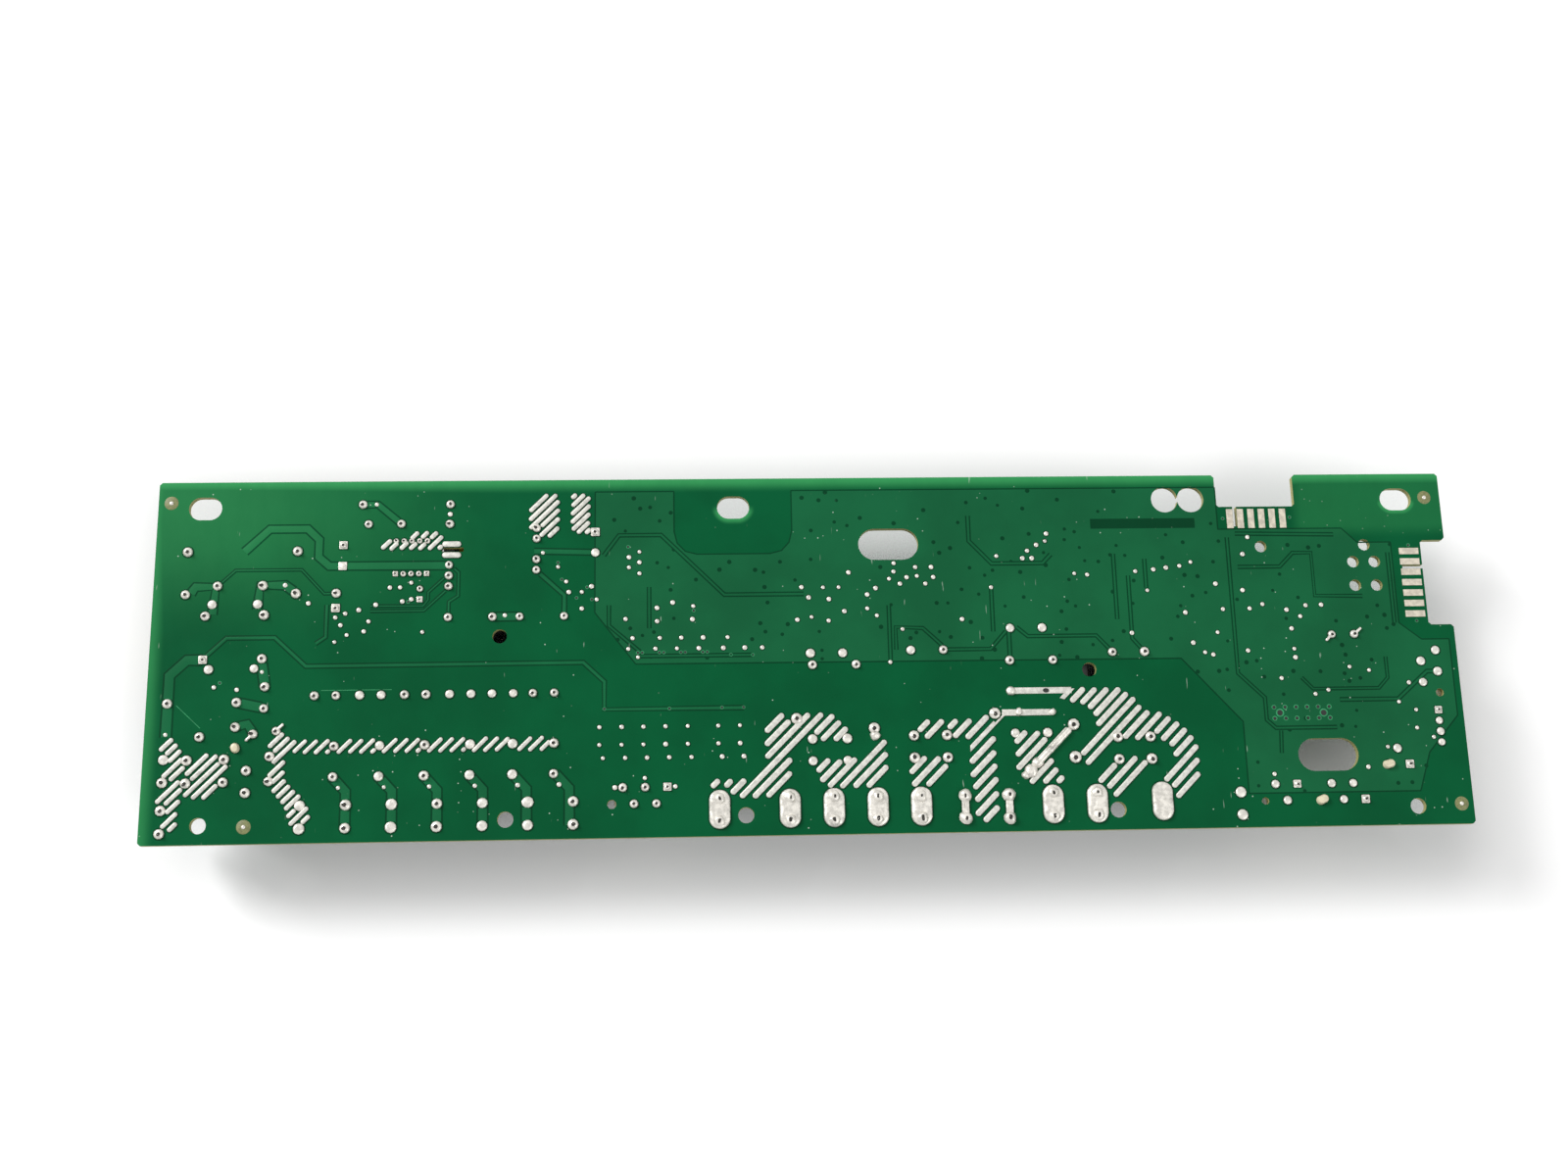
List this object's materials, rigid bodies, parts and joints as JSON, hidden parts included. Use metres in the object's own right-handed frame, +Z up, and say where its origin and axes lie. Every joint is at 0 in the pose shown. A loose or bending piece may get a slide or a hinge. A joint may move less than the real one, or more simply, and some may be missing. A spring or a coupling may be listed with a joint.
{
  "type": "oven power board",
  "caption": "Long green circuit board with relays, tab terminals, filter and supply parts under it; its upper face shows solder joints, tinned strips, slots and two card-edge contact rows",
  "frame": {"origin": "under the middle of the board's outline, on the surface that the tallest relays stand on", "axes": "X along the board, Y across it towards the edge with the fixing slots, Z up through the solder face"},
  "size_m": [0.3, 0.0834, 0.0231],
  "materials": {
    "laminate": "green solder mask over glass-epoxy laminate, satin gloss",
    "solder": "bright wave-soldered tin",
    "contact": "bare tinned copper contact",
    "relay_case": "moulded black relay cover",
    "tab_metal": "tin-plated brass blade",
    "can_sleeve": "shrink sleeve over an aluminium can",
    "film_box": "potted film capacitor box",
    "disc_coat": "dipped epoxy coat on a ceramic disc",
    "black_moulding": "black moulded plastic",
    "ferrite": "sintered ferrite",
    "winding": "enamelled copper wire",
    "winding_tape": "polyester winding tape",
    "header_shell": "natural polyamide header",
    "chip_body": "moulded epoxy chip"
  },
  "bodies": {
    "root": {"bank_tinning": "solder", "bias_can": "can_sleeve", "board_post": "black_moulding", "bridge_rectifier": "chip_body", "bulk_can": "can_sleeve", "chip_resistors": "chip_body", "choke_base": "black_moulding", "choke_core": "ferrite", "choke_windings": "winding", "circuit_board": "laminate", "data_header": "header_shell", "door_header": "header_shell", "drum_choke": "ferrite", "feed_capacitor": "disc_coat", "fuse": "black_moulding", "header_pins": "tab_metal", "lamp_header": "header_shell", "lead_joints": "solder", "line_capacitor": "film_box", "mains_tinning": "solder", "memory_can": "can_sleeve", "microcontroller": "chip_body", "motor_header": "header_shell", "optocouplers": "chip_body", "output_can": "can_sleeve", "oven_relay_1": "relay_case", "oven_relay_2": "relay_case", "oven_tinning": "solder", "plated_holes": "solder", "power_relay_1": "relay_case", "power_relay_2": "relay_case", "probe_header": "header_shell", "relay_drivers": "chip_body", "second_can": "can_sleeve", "sensor_header": "header_shell", "side_edge_contacts": "contact", "slim_relay_1": "relay_case", "slim_relay_2": "relay_case", "slim_relay_3": "relay_case", "slim_relay_4": "relay_case", "slim_relay_5": "relay_case", "slim_relay_6": "relay_case", "slim_tab_terminals": "tab_metal", "snubber_disc": "disc_coat", "supply_tinning": "solder", "surge_capacitor": "film_box", "switcher_chip": "chip_body", "tab_terminals": "tab_metal", "terminal_pads": "solder", "thermistor": "disc_coat", "top_edge_contacts": "contact", "transformer_bobbin": "black_moulding", "transformer_core": "ferrite", "transformer_winding": "winding_tape", "varistor": "disc_coat", "x_capacitor_left": "film_box", "x_capacitor_right": "film_box", "y_capacitor_left": "disc_coat", "y_capacitor_right": "disc_coat"}
  },
  "joints": []
}
